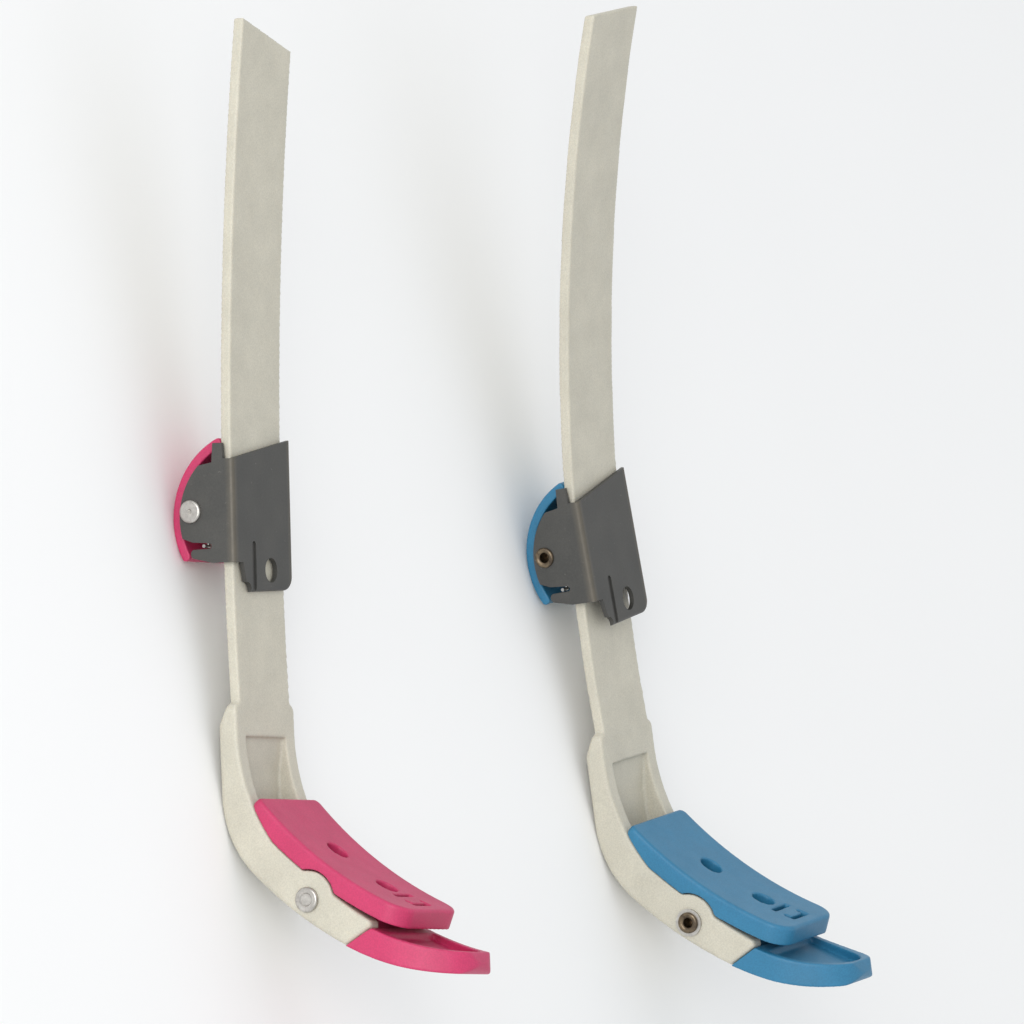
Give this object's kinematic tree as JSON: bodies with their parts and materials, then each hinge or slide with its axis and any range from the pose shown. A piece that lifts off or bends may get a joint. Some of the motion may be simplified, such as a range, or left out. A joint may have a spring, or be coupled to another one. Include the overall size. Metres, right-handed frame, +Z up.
{
  "type": "skate closure strap pair",
  "caption": "Skate closure straps: a curved strap moulded in one with a hinged lever, a dished finger tab, a riveted base plate and a folded steel cam buckle that slides along the strap.",
  "frame": {"origin": "Centre of the bounding box of the pair, on the plane that both straps lie on.", "axes": "+X along the straps towards the lever ends, +Y across from the pink strap to the blue one, +Z up, away from the plane they lie on."},
  "size_m": [0.2254, 0.1886, 0.0496],
  "materials": {
    "ivory_plastic": "fine moulded texture, slightly glossy",
    "pink_plastic": "moulded, satin",
    "blue_plastic": "moulded, satin",
    "black_steel": "black oxide, satin, worn brown on the folds",
    "rivet_steel": "turned, light scratches",
    "bronze_rivet": "darkened plating, rubbed bright on the rim",
    "spring_steel": "bright spring wire"
  },
  "bodies": {
    "root": {"pink_strap_lever": "ivory_plastic", "pink_finger_tab": "pink_plastic", "pink_hinge_rivet": "rivet_steel", "pink_hinge_washer": "rivet_steel", "blue_strap_lever": "ivory_plastic", "blue_finger_tab": "blue_plastic", "blue_hinge_rivet": "bronze_rivet", "blue_hinge_washer": "rivet_steel"},
    "pink_base": {"pink_base_plate": "pink_plastic"},
    "pink_buckle": {"pink_bracket": "black_steel", "pink_cam_rivet": "rivet_steel", "pink_cam_spring": "spring_steel"},
    "pink_cam": {"pink_cam_lever": "pink_plastic"},
    "blue_base": {"blue_base_plate": "blue_plastic"},
    "blue_buckle": {"blue_bracket": "black_steel", "blue_cam_rivet": "bronze_rivet", "blue_cam_spring": "spring_steel"},
    "blue_cam": {"blue_cam_lever": "blue_plastic"}
  },
  "joints": [
    {"name": "pink_base_hinge", "type": "hinge", "parent": "root", "child": "pink_base", "pos_m": [0.06657, -0.07975, 0.01568], "axis": [0.1444, 0.9895, 0], "range_deg": [0, 3]},
    {"name": "pink_buckle_slide", "type": "hinge", "parent": "root", "child": "pink_buckle", "pos_m": [0.15063, -0.09201, 0.8988], "axis": [0.1444, 0.9895, 0], "range_deg": [-1.65, 5]},
    {"name": "pink_cam_hinge", "type": "hinge", "parent": "pink_buckle", "child": "pink_cam", "pos_m": [-0.01577, -0.06774, 0.00599], "axis": [-0.1444, -0.9895, 0], "range_deg": [0, 45], "stiffness_Nm_per_rad": 0.03, "springref_deg": -57.3},
    {"name": "blue_base_hinge", "type": "hinge", "parent": "root", "child": "blue_base", "pos_m": [0.09146, 0.08108, 0.01606], "axis": [-0.0192, 0.9998, 0], "range_deg": [0, 3]},
    {"name": "blue_buckle_slide", "type": "hinge", "parent": "root", "child": "blue_buckle", "pos_m": [0.0863, 0.08098, 0.41079], "axis": [-0.0192, 0.9998, 0], "range_deg": [-3.65, 12]},
    {"name": "blue_cam_hinge", "type": "hinge", "parent": "blue_buckle", "child": "blue_cam", "pos_m": [0.00994, 0.07951, 0.00571], "axis": [0.0192, -0.9998, 0], "range_deg": [0, 30], "stiffness_Nm_per_rad": 0.03, "springref_deg": -57.3}
  ]
}
